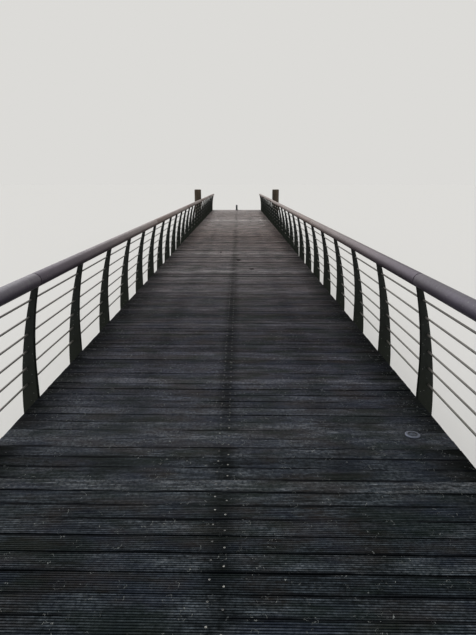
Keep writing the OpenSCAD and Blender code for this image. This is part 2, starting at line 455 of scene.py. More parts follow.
wisp = add("MapRange", off_arc, 0.5 * wisp_w / fleck_gap, wisp_w / fleck_gap, 1.0, 0.0)
wisp = add("Math", wisp, add("MapRange", curl, 0.50, 0.56), operation="MULTIPLY")
fleck = 0.0
for shape, chance, least in ((crumb, picked["Red"], 1.38), (wisp, picked["Green"], 1.06)):
    there = add("Math", add("Math", chance, crowd, operation="ADD"), least, operation="GREATER_THAN")
    fleck = add("Math", add("Math", shape, there, operation="MULTIPLY"), fleck, operation="MAXIMUM")
fleck_colour = add("Mix", picked["Blue"], "#454949", "#8b8e8a", data_type="RGBA")
wood = add("Mix", fleck, wood, fleck_colour, data_type="RGBA")
print("cells that may hold a fleck lie", fleck_gap, "m apart")

# %% [markdown]
# Wear has made each rib lean a little to one side and then to the other, and a low light shows that as
# glints. Fibres, specks and flecks stand out by less. Pale, grey wood is smoother than wood that is dirty,
# damp or soft. Open pores between the fibres leave far less gloss than the IOR of 1.5 of sound wood, except
# at a low angle, so a low IOR stands for them.

# %% Relief and gloss of the boards
rib_lean = 0.0042                     # how far a rib's two sides would differ in height at full swing
lean = add("Math", add("Math", noises["streaks"], 0.5, operation="SUBTRACT"), rib_side, operation="MULTIPLY")
relief = add("Bump", {"Height": lean, "Distance": rib_lean})
for height, depth, strength in ((grey, 0.0011, 0.8), (noises["specks"], 0.0008, 1.0), (fleck, 0.001, 1.0)):
    relief = add("Bump", {"Height": height, "Distance": depth, "Strength": strength, "Normal": relief})
rough = add("MapRange", tone, 0.4, 1.8, 0.55, 0.20)
for cover, rougher in ((grey, -0.20), (dirt_and_groove_shade, 0.3), (damp_and_shade, 0.3), (rim_dirt_and_shade, 0.3), (rotten, 0.5)):
    rough = add("Math", cover, rougher, rough, operation="MULTIPLY_ADD")
# The pinkish specular tint is a painted warm sky reflection in the boards' gloss
add("OutputMaterial", add("BsdfPrincipled", {
    "Base Color": wood, "Roughness": rough, "IOR": 1.09, "Specular Tint": "#ffe8fa", "Normal": relief}))
print("with its relief the decking finish has", len(board_wood.node_tree.nodes), "nodes")

# %% [markdown]
# ## One ribbed board
# Each board is 120 mm wide and carries nine rounded ribs with eight flat grooves between them, which is
# what gives the deck its fine stripes and a grip when it is wet. The cross-section is drawn point by point,
# as a joiner would draw it: a single point is extruded along the outline, the outline is filled, and the
# filled face is extruded along the board's length. That keeps the grooves open at both ends, which digging
# them into a finished block would not.

# %% Model the board
board_pitch = 0.125
board_w = 0.120
board_t = deck_high.z - deck_low.z
ribs = 9
rib_w, groove_w = 0.008, 0.006
rib_pitch = rib_w + groove_w
groove_side, groove_deep = 0.0014, 0.0030
rib_crown = 0.0003
edge_w, edge_deep = 0.0020, 0.0032    # the board's long edges are rounded off more than the ribs

outline = []
for rib in range(ribs):
    left = rib * rib_pitch - board_w / 2
    right = left + rib_w
    outline += [(left, -rib_crown), (left + rib_w / 2, 0.0), (right, -rib_crown)]
    if rib < ribs - 1:
        outline += [(right + groove_side, -groove_deep), (right + groove_w - groove_side, -groove_deep)]
outline[0] = (-board_w / 2 + edge_w, -rib_crown)
outline[-1] = (board_w / 2 - edge_w, -rib_crown)
outline = [(-board_w / 2, -edge_deep), *outline, (board_w / 2, -edge_deep)]
outline += [(board_w / 2, -board_t), (-board_w / 2, -board_t)]

board = primitive("plane", "ribbed_board", size=0.001, location=(-edge_x, *outline[0]))
pick(board, "VERT")
bpy.ops.mesh.merge(type="CENTER")
for (y0, z0), (y1, z1) in zip(outline, outline[1:]):
    extrude(0, y1 - y0, z1 - z0)
bpy.ops.mesh.select_all(action="SELECT")
bpy.ops.mesh.edge_face_add()
board_steps = 4
for step in range(board_steps):
    extrude(2 * edge_x / board_steps, 0, 0)
bpy.ops.mesh.select_all(action="SELECT")
bpy.ops.mesh.normals_make_consistent(inside=False)
shade(board, 32)


def stored(piece, name, values, kind="FLOAT", field="value"):
    """Keeps one value for each point in piece's mesh, where a material can read it by name."""
    piece.data.attributes.new("board_" + name, kind, "POINT").data.foreach_set(field, values)


points = [point.co.copy() for point in board.data.vertices]
across = [(p.y + board_w / 2) / rib_pitch for p in points]
stored(board, "rib", [float(int(n)) for n in across])
stored(board, "rib_side", [min(1.0, (n - int(n)) * rib_pitch / (rib_w / 2) - 1) for n in across])
stored(board, "place", [c for p in points for c in p], "FLOAT_VECTOR", "vector")
# Groove bottoms get the full share and rib shoulders a quarter of the dirt and painted shade
depths = [hair / 10 - p.z for p in points]
stored(board, "dirt_and_groove_shade", [1.0 if d > groove_deep else 0.25 if d > rib_crown else 0.0 for d in depths])
print("one board has", len(board.data.polygons), "faces")

# %% [markdown]
# ## A deck of 289 boards
# Nothing on a real deck is quite even. The boards were laid about one degree out of square, which was put
# right little by little towards both ends. Some joints gape and a few have nearly closed. Boards come in
# packs of one tone, stretches of the deck weather alike, and each board differs a little again; the tones
# of the stretches also carry painted light, a darker band from about y = -11.5 to -8.5 as painted shade and
# paler stretches far out as painted sky reflection. Three boards near the stud were laid later: damp hasn't
# darkened their ends yet.

# %% How the boards lie and how they weathered
joint_start = 0.041                       # from the deck's near end to its first joint
out_of_square = 0.018                     # metres that a board comes nearer over each metre to the right
squared_near, squared_far = 3, 12         # lengths over which this was put right at the two ends
gaping_joints_y = (-14.084, -13.959, -13.834, -12.959)
tight_joints_y = (-13.584, -13.084, -12.834, -12.584)
new_boards = ((-12.893, 1.2), (-12.768, 1.25), (-13.393, 1.5))      # where they lie, and their tone
# Tones of the stretches along y: weathering, with painted shade in the dark band and painted sky reflection far
# out
stretch_tones_and_painted_light = ((-18.0, 1.5), (-13.9, 1.2), (-13.2, 0.9), (-12.4, 0.7), (-12.0, 0.78), (-11.2, 0.38),
                 (-10.7, 0.65), (-9.7, 0.5), (-8.5, 0.6), (-6.9, 1.0), (-2.6, 1.0), (1.4, 0.78), (5.6, 1.4),
                 (10.0, 1.7), (18.0, 1.7))
rng = random.Random(7)


def skew_at(y):
    """How far out of square a board at y lies, in metres to each metre."""
    return out_of_square * min(1.0, (y - near_y) / squared_near, (far_y - y) / squared_far)


def gap_at(y):
    """How far the joint at y is open."""
    for gap, joints in ((0.009, gaping_joints_y), (0.002, tight_joints_y)):
        if any(abs(y - joint) < 0.01 for joint in joints):
            return gap
    if y < tight_joints_y[-1]:
        return rng.uniform(0.003, 0.006)
    return rng.choice((0.0015, 0.002, 0.003, 0.004, 0.007))


def stretch_tone_and_painted_light(y):
    """How light the boards are in this stretch of the deck, weathering and painted light together."""
    for (y0, tone0), (y1, tone1) in zip(stretch_tones_and_painted_light, stretch_tones_and_painted_light[1:]):
        if y0 <= y <= y1:
            return tone0 + (tone1 - tone0) * (y - y0) / (y1 - y0)


print("halfway down the deck a board is", skew_at(0), "m out of square in each metre")

# %% [markdown]
# Each copy of the board gets its own two joints, a millimetre or so of play in height and a hair of skew
# and tilt. The joints don't start at the deck's end, so its first and last boards are cut narrower. The
# boards of a bay become one piece.

# %% Lay the boards
skew_play = 0.0009                        # how much single boards differ from the others' skew
tilt_play, tilt_most = 0.8, 1.8           # degrees that boards tip over, as a rule and at most
set_low, height_play = 0.0006, 0.0020     # how far below the walking surface all lie, and some further
least_l, most_l = 0.9985, 0.9998          # the boards' lengths, as shares of the deck's width
tone_play, mixed_play = 0.2, 0.36         # how much single boards differ in tone, and do in one stretch
mixed_from_y, mixed_to_y = -13, 0         # where that stretch of mixed boards lies
damp_new = 0.1                            # how damp the boards are that were laid later
end_gap = 0.001                           # half of it stays free at each end of the deck


def laid_board(low, high, pack_tone):
    """A copy of the board between y = low and y = high, in its own tone."""
    middle = (low + high) / 2
    skewed = Matrix.Identity(4)
    skewed[1][0] = -skew_at(middle) + rng.uniform(-skew_play, skew_play)
    tilt = Matrix.Rotation(math.radians(min(tilt_most, max(-tilt_most, rng.gauss(0, tilt_play)))), 4, "X")
    size = Matrix.Diagonal((rng.uniform(least_l, most_l), (high - low) / board_w, 1, 1))
    height = deck_z - set_low - rng.uniform(0, height_play)
    copy, = copied(board, at((0, middle, height)) @ skewed @ tilt @ size)
    play = mixed_play if mixed_from_y < middle < mixed_to_y else tone_play
    own_tone = min(1.9, max(0.4, rng.gauss(1.0, play)))
    tone_here, damp_here = stretch_tone_and_painted_light(middle) * pack_tone * own_tone, rng.uniform(0.8, 1.1)
    for y, new_tone in new_boards:
        if abs(middle - y) < board_pitch / 2:
            tone_here, damp_here = new_tone, damp_new
    for name, value in (("tone", tone_here), ("damp_and_shade", damp_here), ("shift", rng.uniform(0, 80))):
        stored(copy, name, [value] * len(points))
    return copy


boards_in_all = round((far_y - near_y) / board_pitch) + 1
joints = [(near_y, end_gap)]
joints += [(y, gap_at(y)) for y in [near_y + joint_start + k * board_pitch for k in range(boards_in_all - 1)]]
joints.append((far_y, end_gap))
bay_parts = [[] for bay in range(bays)]
pack_tone = 1.0
for (y0, gap0), (y1, gap1) in zip(joints, joints[1:]):
    if rng.random() < 0.2:
        pack_tone = rng.uniform(0.65, 1.35)
    bay = int(((y0 + y1) / 2 - near_y) / bay_l)
    bay_parts[bay].append(laid_board(y0 + gap0 / 2, y1 - gap1 / 2, pack_tone))
for bay, parts in enumerate(bay_parts, 1):
    fitted(parts, f"deck_boards_{bay}", board_wood, "deck_boards", f"deck_bay_{bay}")
thrown_away(board)
gaps = sorted(gap for y, gap in joints)
print(boards_in_all, "boards, gaps from", gaps[0], "to", gaps[-1])

# %% [markdown]
# ## Steel in the open air
# The railing is hot-dip galvanised steel. Zinc is bright when new, but after years outdoors it is a dull,
# slightly mottled grey, with green algae where water sits near the deck. The flat plates are much darker,
# partly as painted shade. The rods and the handrail are rubbed by hands and rain and stay lighter. All
# finishes are built the same way, so one function makes them from their colours and their shine: cloudy
# mottling, rain streaks that run down, and algae that thins out upwards. The handrail's colour carries a
# painted sky reflection: a cool lavender grey near the shore and a paler, warmer one far out.

# %% Galvanised steel finishes
mottle_size = 0.035                     # a cloud in the zinc, in metres
spot_size = 0.006                       # a fleck of white rust or dirt
zinc_tones_per_m = 1.7                  # broad changes of tone to a metre
runs_per_m = (60, 60, 3)                # rain streaks to a metre: narrow sideways, long downwards
cool_reflection_to_y, warm_reflection_from_y = -13.0, -6.0    # the handrail's painted sky reflection is cool up to the first and warm from the second


def galvanised(name, greys, algae_colour, algae_top, algae_share, metal, roughness, shine=0.5, far_reflection_greys=()):
    """Weathered zinc between two greys, with algae that thins out up to algae_top above the boards."""
    material, add = new_material(name)
    place = add("TexCoord").outputs["Object"]
    position = add("SeparateXYZ", place).outputs
    dark, light = greys
    # Far out the greys shift to warmer ones: a painted sky reflection
    if far_reflection_greys:
        toward_warm_reflection = add("MapRange", position["Y"], cool_reflection_to_y, warm_reflection_from_y)
        dark, light = [add("Mix", toward_warm_reflection, *pair, data_type="RGBA") for pair in zip(greys, far_reflection_greys)]
    clouds = add("TexNoise", {"Vector": place, "Scale": 1 / mottle_size, "Detail": 6.0, "Roughness": 0.65})
    broad = add("TexNoise", {"Vector": place, "Scale": zinc_tones_per_m, "Detail": 3.0})
    cloudy = add("Math", clouds, 0.6, 0.2, operation="MULTIPLY_ADD")
    cloudy = add("Math", broad, 0.4, cloudy, operation="MULTIPLY_ADD")
    zinc = add("Mix", add("MapRange", cloudy, 0.52, 0.88), dark, light, data_type="RGBA")
    runs_place = add("Mapping", {"Vector": place, "Scale": runs_per_m})
    runs = add("TexNoise", {"Vector": runs_place, "Scale": 1.0, "Detail": 3.0})
    streaks = add("MapRange", runs, 0.5, 0.75, 0.0, 0.35)
    low = add("MapRange", position["Z"], deck_z - 0.15, deck_z + algae_top, 1.0, 0.0)
    grown = add("MapRange", add("Math", low, clouds, operation="ADD"), 0.75, 1.35, 0.0, algae_share)
    cells = add("TexVoronoi", {"Vector": place, "Scale": 1 / (4 * spot_size)})
    kept = add("Math", cells.outputs["Color"], 0.72, operation="GREATER_THAN")
    spots = add("Math", add("MapRange", cells, 0.08, 0.15, 0.5, 0.0), kept, operation="MULTIPLY")
    for cover, colour in ((streaks, dark), (grown, algae_colour), (spots, "#b4b5b0")):
        zinc = add("Mix", cover, zinc, colour, data_type="RGBA")
    add("OutputMaterial", add("BsdfPrincipled", {
        "Base Color": zinc, "Metallic": add("Math", grown, -metal, metal, operation="MULTIPLY_ADD"),
        "Roughness": add("MapRange", clouds, 0.3, 0.7, roughness - 0.08, roughness + 0.1),
        "Specular IOR Level": shine,
        "Normal": add("Bump", {"Height": clouds, "Distance": 0.0006, "Strength": 0.5})}))
    return material


# The post plates' dark greys are partly painted shade
plate_steel_with_painted_shade = galvanised("galvanised_post_plate", ("#191c1a", "#2b2f2c"), "#1a1f16", algae_top=0.75,
                         algae_share=0.75, metal=0.2, roughness=0.6, shine=0.2)
rod_steel = galvanised("galvanised_rod", ("#55534f", "#7a7671"), "#474b3c", algae_top=0.45,
                       algae_share=0.45, metal=0.5, roughness=0.45, shine=0.35)
# The handrail's lavender near greys and warm far greys are painted sky reflection
tube_steel = galvanised("galvanised_handrail_tube", ("#3b3742", "#504a58"), "#43463f", algae_top=0.3,
                        algae_share=0.2, metal=0.5, roughness=0.46, shine=0.35,
                        far_reflection_greys=("#51433f", "#705c55"))
print("three galvanised finishes, mottled every", mottle_size * 1000, "mm")

# %% [markdown]
# ## A sabre plate
# Each post is a pair of thin plates shaped like a sabre: upright at the foot, bowed outboard, and leaning
# in to carry the handrail. Both edges are arcs that start upright. The plate is drawn as a hand would draw
# it, by pulling its top edge up the bow in short steps and making it a little narrower each time. Its lower
# outer corner is rounded, then the whole outline is pulled out to the plate's thickness and its edges are
# eased, as a grinder leaves them.

# %% Model a sabre plate
rail_low, rail_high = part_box("right_handrail")
rail_r = (rail_high.x - rail_low.x) / 2
rail_x = (rail_low.x + rail_high.x) / 2
rail_z = rail_high.z - rail_r
plate_t = 0.010
plate_gap = 0.030
plate_ease = 0.0012
foot_w = 0.130
seat_w = 0.040
foot_drop = 0.245
bend_z = 0.200
foot_corner_r = 0.070
fixing_t = 0.010
fixing_l = 0.160
fixing_clear = 0.010
seat_z = rail_z - deck_z - rail_r         # height of the tube's underside above the boards
seat_u = rail_x - edge_x                  # how far outboard of the deck's edge the seat's middle lies


def arc_radius(aside, up):
    """Radius of an arc that starts upright and has moved aside by so much after rising so much."""
    return (aside ** 2 + up ** 2) / (2 * aside)


inner_r = arc_radius(fixing_t - seat_u + seat_w / 2, seat_z - bend_z)
outer_r = arc_radius(fixing_t + foot_w - seat_u - seat_w / 2, seat_z + foot_drop)


def inner_edge(v):
    """How far outboard the plate's inner edge is at height v above the boards."""
    return fixing_t if v < bend_z else fixing_t - inner_r + math.sqrt(inner_r ** 2 - (v - bend_z) ** 2)


def outer_edge(v):
    """How far outboard the plate's outer edge is at height v above the boards."""
    return fixing_t + foot_w - outer_r + math.sqrt(outer_r ** 2 - (v + foot_drop) ** 2)


plate_rows = 22
into_tube = 0.012
levels = [-foot_drop + (seat_z + into_tube + foot_drop) * i / plate_rows for i in range(plate_rows + 1)]
levels = [-foot_drop] + levels[3:]        # the first rows are left out, to make room for the rounded corner
width = outer_edge(-foot_drop) - inner_edge(-foot_drop)
middle = edge_x + inner_edge(-foot_drop) + width / 2
plate = primitive("plane", "sabre_plate", (width, levels[1] - levels[0], 1), size=1, rotation=lying_y,
                  location=(middle, 0, deck_z + (levels[0] + levels[1]) / 2))
pick(plate, "EDGE", lambda p, d: p.z > deck_z + levels[1] - hair)
for v in levels[1:]:
    if v > levels[1]:
        extrude(0, 0, deck_z + v - top)
    top = deck_z + v
    new_width = outer_edge(v) - inner_edge(v)
    new_middle = edge_x + (outer_edge(v) + inner_edge(v)) / 2
    bpy.ops.transform.resize(value=(new_width / width, 1, 1), center_override=(middle, 0, top))
    bpy.ops.transform.translate(value=(new_middle - middle, 0, 0))
    width, middle = new_width, new_middle
pick(plate, "VERT", lambda p, n: p.z < deck_z - foot_drop + hair and p.x > edge_x + fixing_t + foot_w / 2)
bpy.ops.mesh.bevel(offset=foot_corner_r, segments=6, affect="VERTICES")
pick(plate, "FACE")
extrude(0, plate_t, 0)
bpy.ops.mesh.select_all(action="SELECT")
bpy.ops.mesh.normals_make_consistent(inside=False)
soften(plate, plate_ease)
print("a sabre plate has", len(plate.data.polygons), "faces and is", round(plate.dimensions.z, 3), "m tall")

# %% [markdown]
# The fixing plate behind the sabre plates is bolted through the outer beam. Its four hex bolts with washers
# are too small for the solids, and a railing without them would look glued on. A bolt head is a six-sided
# cylinder whose outer rim is eased; a washer is a thin disc with a rounded rim. Each weld that holds the
# tube in its cradle is a small round bead, spun round the tube's own axis.

# %% Fixing plate, bolts and weld beads make a post
bolt_y, bolt_heights = 0.057, (-0.095, -0.205)
fixing_corner = 0.012
washer_r, washer_t, washer_ease = 0.0125, 0.003, 0.001
head_r, head_t, head_ease, head_crown = 0.0105, 0.0078, 0.0013, 0.0008
face_x = edge_x + fixing_t
fixing_h = foot_drop - board_t - fixing_clear

fixing = primitive("cube", "fixing_plate", size=1, scale=(fixing_t, fixing_l, fixing_h),
                   location=(edge_x + fixing_t / 2, 0, deck_z - foot_drop + fixing_h / 2))
pick(fixing, "EDGE", lambda p, d: abs(p.y) > fixing_l / 2 - hair and abs(d.x) > fixing_t / 2)
bpy.ops.mesh.bevel(offset=fixing_corner, segments=3)
soften(fixing, plate_ease)

washer = primitive("cylinder", "washer", vertices=16, radius=washer_r, depth=washer_t, rotation=lying_x,
                   location=(face_x + washer_t / 2, 0, 0))
pick(washer, "EDGE", lambda p, d: p.x > face_x + washer_t - hair / 10)
bpy.ops.mesh.bevel(offset=washer_ease, segments=1)
select_only(washer)
head = primitive("cylinder", "bolt_head", vertices=6, radius=head_r, depth=head_t, rotation=lying_x,
                 location=(face_x + washer_t + head_t / 2, 0, 0))
pick(head, "FACE", lambda p, n: n.x > 0.9)
bpy.ops.mesh.inset(thickness=head_ease)
bpy.ops.transform.translate(value=(head_crown, 0, 0))
bolt = joined([head, washer], "fixing_bolt")
shade(bolt, 30)

bead_r = 0.003
bead_half_turn = math.radians(22)
tube_axis = Vector((rail_x, 0, rail_z))
bead = primitive("circle", "weld_bead", vertices=6, radius=bead_r, fill_type="NGON", rotation=lying_x,
                 location=tube_axis - Vector((0, 0, rail_r)))
pick(bead, "FACE")
bpy.ops.mesh.spin(steps=6, angle=2 * bead_half_turn, center=tube_axis, axis=(0, 1, 0))
select_only(bead)
bead.data.transform(at(tube_axis) @ Matrix.Rotation(bead_half_turn, 4, "Y") @ at(-tube_axis))
shade(bead, 60)

plate_starts = [-plate_gap / 2 - plate_t, plate_gap / 2]
parts = copied(plate, *[at((0, y, 0)) for y in plate_starts])
parts += copied(fixing, at((0, 0, 0)))
parts += copied(bolt, *[at((0, y, deck_z + z)) for y in (-bolt_y, bolt_y) for z in bolt_heights])
parts += copied(bead, *[at((0, y, 0)) for start in plate_starts for y in (start, start + plate_t)])
post = joined(parts, "railing_post")
thrown_away(plate, fixing, bolt, bead)
first_y = min(point.co.y for point in post.data.vertices)
print("one post has", len(post.data.polygons), "faces, from y", round(first_y, 3))

# %% [markdown]
# ## Sixty-two posts
# One post is right for both sides, because a half turn about the middle of the deck takes it from the right
# edge to the left one. Five posts stand in each bay, the last of them just short of the bay's far end. The
# near end of the first bay has one more, which closes the railing. The posts of one bay and side become one
# piece.

# %% Set up the posts
unmoved, half_turn = Matrix.Identity(4), Matrix.Rotation(math.pi, 4, "Z")
posts_in_all = 0
for side, turn in (("right", unmoved), ("left", half_turn)):
    for bay in range(1, bays + 1):
        last_y = near_y + bay * bay_l - post_inset
        places = [last_y - i * post_pitch for i in range(round(bay_l / post_pitch))]
        if bay == 1:
            places.append(near_y + post_inset)
        posts_in_all += len(places)
        parts = copied(post, *[at((0, y, 0)) @ turn for y in places])
        fitted(parts, f"{side}_posts_{bay}", plate_steel_with_painted_shade, "railing_steel", f"{side}_railing_{bay}")
thrown_away(post)
print(posts_in_all, "posts stand")

# %% [markdown]
# ## Six rods a side
# The rods are plain round bars, but a bar cut square has a visible burr eased off its ends. They run level
# through the plates and follow the bow: each lies at the same share of the plate's width, so its distance
# from the deck's edge is worked out from the same two arcs. A bay's six rods become one piece.

# %% Run the rods
rods = 6
rod_d = 0.016
rod_low = 0.110
rod_clear = 0.090
rod_share = 0.64
rod_ease = 0.0008
rod = primitive("cylinder", "rod", vertices=16, radius=rod_d / 2, depth=bay_l, rotation=lying_y,
                location=(0, near_y + bay_l / 2, 0))
pick(rod, "EDGE", lambda p, d: abs(d.y) < hair)
bpy.ops.mesh.bevel(offset=rod_ease, segments=1)
shade(rod)

rod_heights = [rod_low + i * (seat_z - rod_clear - rod_low) / (rods - 1) for i in range(rods)]
for side, sign in (("right", 1), ("left", -1)):
    for bay in range(1, bays + 1):
        moves = []
        for v in rod_heights:
            aside = edge_x + inner_edge(v) + rod_share * (outer_edge(v) - inner_edge(v))
            moves.append(at((sign * aside, (bay - 1) * bay_l, deck_z + v)))
        fitted(copied(rod, *moves), f"{side}_rods_{bay}", rod_steel, "rod_steel", f"{side}_railing_{bay}")
thrown_away(rod)
print("rods at heights", [round(v, 3) for v in rod_heights])

# %% [markdown]
# ## The handrail
# Steel tube comes in six-metre lengths. Two lengths meet over a sleeve that fills the bore of both, above
# the last post of a bay, and a finger's width of the sleeve shows in the open joint. Each length starts as
# a cylinder. Its end faces are inset by the wall of the tube and pushed in, which makes it hollow where one
# could look in, and the outer rims are eased. The two outermost ends are shut with a plug.

# %% Lay the handrails
rail_joint = 0.012
tube_wall = 0.005
rim_ease = 0.0018
bore_shown = 0.06
sleeve_half_l = 0.05
plug_in, plug_t = 0.002, 0.010
bar_ease = 0.001


def tube_between(y0, y1):
    """One length of handrail tube on the right side, open and hollow at both ends."""
    tube = primitive("cylinder", "length", vertices=56, radius=rail_r, depth=y1 - y0, rotation=lying_y,
                     location=(rail_x, (y0 + y1) / 2, rail_z))
    pick(tube, "EDGE", lambda p, d: abs(d.y) < hair)
    bpy.ops.mesh.bevel(offset=rim_ease, segments=2)
    for facing in (-1, 1):
        pick(tube, "FACE", lambda p, n: n.y * facing > 0.99)
        bpy.ops.mesh.inset(thickness=tube_wall - rim_ease)
        extrude(0, -bore_shown * facing, 0)
    shade(tube)
    return tube


def bar_between(y0, y1):
    """A solid bar that fills the tube's bore, such as a sleeve or a plug, with eased rims."""
    bar = primitive("cylinder", "bar", vertices=40, radius=rail_r - tube_wall, depth=y1 - y0,
                    rotation=lying_y, location=(rail_x, (y0 + y1) / 2, rail_z))
    soften(bar, bar_ease)
    return bar


rail_joints = [near_y + bay * bay_l - post_inset for bay in range(1, bays)]
ends = [near_y - rail_joint / 2, *rail_joints, far_y + rail_joint / 2]
parts = [tube_between(a + rail_joint / 2, b - rail_joint / 2) for a, b in zip(ends, ends[1:])]
parts += [bar_between(y - sleeve_half_l, y + sleeve_half_l) for y in rail_joints]
for y0 in (near_y + plug_in, far_y - plug_in - plug_t):
    parts.append(bar_between(y0, y0 + plug_t))
right_rail = joined(parts, "right_handrail_tube")
left_rail, = copied(right_rail, at((-2 * rail_x, 0, 0)))
for side, rail in (("left", left_rail), ("right", right_rail)):
    fitted([rail], f"{side}_handrail_tube", tube_steel, "handrail_tube", f"{side}_handrail")
print("handrail joints at y", [round(y, 2) for y in rail_joints])
print("a handrail has", len(right_rail.data.polygons), "faces")

# %% [markdown]
# ## Sawn and round timber
# Under the deck, beams lie along the jetty on cap beams, and those on round piles. All are heavy timber,
# weathered brown-grey, with long drying cracks along the grain and growth rings on the cut ends. Their
# finish is one function of the direction in which the grain runs. Stretched noise gives the fibres, a few
# rarer and darker lines give the cracks, and rings appear only where a surface faces along the grain, which
# is where a saw has cut across it.

# %% One finish for all timber
strand_l, strand_w = 0.5, 0.007      # a strand of fibres, in metres
crack_l, crack_w = 1.1, 0.030        # length and spacing of drying cracks
ring_gap = 0.009                     # growth rings, drawn a little wider apart than real ones
ring_wander = 0.03                   # how far noise pulls them out of round
wood_tones_per_m = 2.2               # broad changes of tone to a metre
wanders_per_m = 9.0                  # waves of the growth rings to a metre


def timber(name, dark, light, grain, pith, wet_top=None):
    """Heavy timber with its grain along X, Y or Z. For each axis across the grain, pith gives the pith's
    place and the spacing at which it repeats. Below wet_top the timber is dark and green with algae."""
    material, add = new_material(name)
    coordinates = add("TexCoord").outputs
    place = coordinates["Object"]
    position = add("SeparateXYZ", place).outputs
    stretched = []
    for length, width, detail, rough in ((strand_l, strand_w, 4.0, 0.6), (crack_l, crack_w, 2.0, 0.5)):
        scale = [1 / length if axis == grain else 1 / width for axis in "XYZ"]
        along = add("Mapping", {"Vector": place, "Scale": scale})
        noise = add("TexNoise", {"Vector": along, "Scale": 1.0, "Detail": detail, "Roughness": rough})
        stretched.append(noise)
    fibres, cracking = stretched
    broad = add("TexNoise", {"Vector": place, "Scale": wood_tones_per_m, "Detail": 4.0})
    wood = add("Mix", add("MapRange", fibres, 0.35, 0.68), dark, light, data_type="RGBA")
    wood = add("HueSaturation", {"Color": wood, "Value": add("MapRange", broad, 0.3, 0.7, 0.75, 1.2)})

    # Rings round the pith on cut ends, and cracks everywhere else
    facing = add("Math", add("SeparateXYZ", coordinates["Normal"]).outputs[grain], operation="ABSOLUTE")
    cut_end = add("MapRange", facing, 0.75, 0.9)
    from_pith = {}
    for axis, (centre, every) in pith.items():
        moved = add("Math", position[axis], centre, operation="SUBTRACT")
        from_pith[axis] = add("Math", moved, every / 2, -every / 2, operation="WRAP")
    radius = add("VectorMath", add("CombineXYZ", from_pith), operation="LENGTH")
    wander = add("TexNoise", {"Vector": place, "Scale": wanders_per_m, "Detail": 2.0})
    radius = add("Math", wander, ring_wander, radius, operation="MULTIPLY_ADD")
    rings = add("Math", add("Math", radius, 2 * math.pi / ring_gap, operation="MULTIPLY"), operation="SINE")
    ring_wood = add("Mix", add("MapRange", rings, -0.4, 1.0), light, dark, data_type="RGBA")
    off_line = add("Math", add("Math", cracking, 0.5, operation="SUBTRACT"), operation="ABSOLUTE")
    cracks = add("Math", add("MapRange", off_line, 0.004, 0.016, 1.0, 0.0),
                 add("Math", 1.0, cut_end, operation="SUBTRACT"), operation="MULTIPLY")
    covers = [(cut_end, ring_wood), (add("Math", cracks, 0.75, operation="MULTIPLY"), "#15130f")]
    if wet_top is not None:
        line = add("Math", broad, 0.35, position["Z"], operation="MULTIPLY_ADD")
        covers.append((add("MapRange", line, wet_top, wet_top + 0.3, 0.85, 0.0), "#23251c"))
    for cover, colour in covers:
        wood = add("Mix", cover, wood, colour, data_type="RGBA")
    deep = add("Math", cracks, -1.0, fibres, operation="MULTIPLY_ADD")
    add("OutputMaterial", add("BsdfPrincipled", {
        "Base Color": wood, "Roughness": 0.82, "IOR": 1.5,
        "Normal": add("Bump", {"Height": deep, "Distance": 0.002, "Strength": 0.7})}))
    return material


print("drying cracks are", crack_l, "m long and", crack_w, "m apart")

# %% [markdown]
# The rings of a cut end lie round a pith, so each finish is told where that is and how far on the next one
# follows. Sawn beams were cut a little beside theirs. The piles stand in water, and their feet are dark and
# green with algae, higher up on the mooring piles.

# %% Four timbers
beam_low, beam_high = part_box("centre_beam")
cap_low, cap_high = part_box("cap_beam_2")
mooring_low, mooring_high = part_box("right_mooring_pile")
outer_beam_x = edge_x - (beam_high.x - beam_low.x) / 2
mooring_x = (mooring_low.x + mooring_high.x) / 2
mooring_y = (mooring_low.y + mooring_high.y) / 2
beam_wood = timber("sawn_beam_timber", "#3d3830", "#6a6155", "Y", {
    "X": (0.03, outer_beam_x), "Z": (beam_low.z + 0.09, 10)})
cap_wood = timber("sawn_cap_timber", "#39342c", "#635a4e", "X", {
    "Y": (-0.02, bay_l), "Z": (cap_low.z + 0.10, 10)})
pile_wood = timber("round_pile_timber", "#2f2c22", "#565043", "Z", {
    "X": (0.0, 1.15), "Y": (0.0, bay_l)}, wet_top=0.25)
mooring_wood = timber("round_mooring_timber", "#30281e", "#584a38", "Z", {
    "X": (mooring_x, 2 * mooring_x), "Y": (mooring_y, 10)}, wet_top=0.75)
print("timber finishes made, fibres", strand_w * 1000, "mm wide")

# %% [markdown]
# ## Beams and cap beams
# A sawn beam is a box only on a drawing. Its long edges are eased where they were handled, and the drying
# cracks that run along its faces are real grooves. For such a crack the block is bisected by close planes
# until a long, narrow face is left, and that face is pushed in and pinched at its bottom.

# %% Open a drying crack
crack_open = 0.005
crack_deep = 0.014
left_l, left_w = 0.94, 0.15    # what is left of a crack's length and width at its bottom


def cracked(piece, length_axis, face_axis, facing, height, start, end):
    """Opens a drying crack along length_axis, in the face that looks along face_axis, from start to end."""
    along = Vector([a == length_axis for a in "XYZ"])
    across = Vector((0, 0, 1))
    outward = Vector([facing * (a == face_axis) for a in "XYZ"])
    middle = (start + end) / 2
    for point, direction in (
            (across * (height - crack_open / 2), across), (across * (height + crack_open / 2), across),
            (along * start, along), (along * end, along), (along * middle, along)):
        pick(piece, "FACE")
        bpy.ops.mesh.bisect(plane_co=point, plane_no=direction)
    pick(piece, "FACE", lambda p, n: n.dot(outward) > 0.9 and abs(p.dot(across) - height) < crack_open / 2
         and start < p.dot(along) < end)
    extrude(*(-outward * crack_deep))
    pinch = along * left_l + across * left_w + Vector([abs(c) for c in outward])
    bpy.ops.transform.resize(value=pinch, center_override=along * middle + across * height)
    select_only(piece)


print("a drying crack opens", crack_open, "m wide and", crack_deep, "m deep")

# %% [markdown]
# One beam and one cap beam are modelled, then copied, every second one turned end for end so that the
# cracks don't repeat. A beam is as long as a bay, and a narrow joint stays open between it and the next.

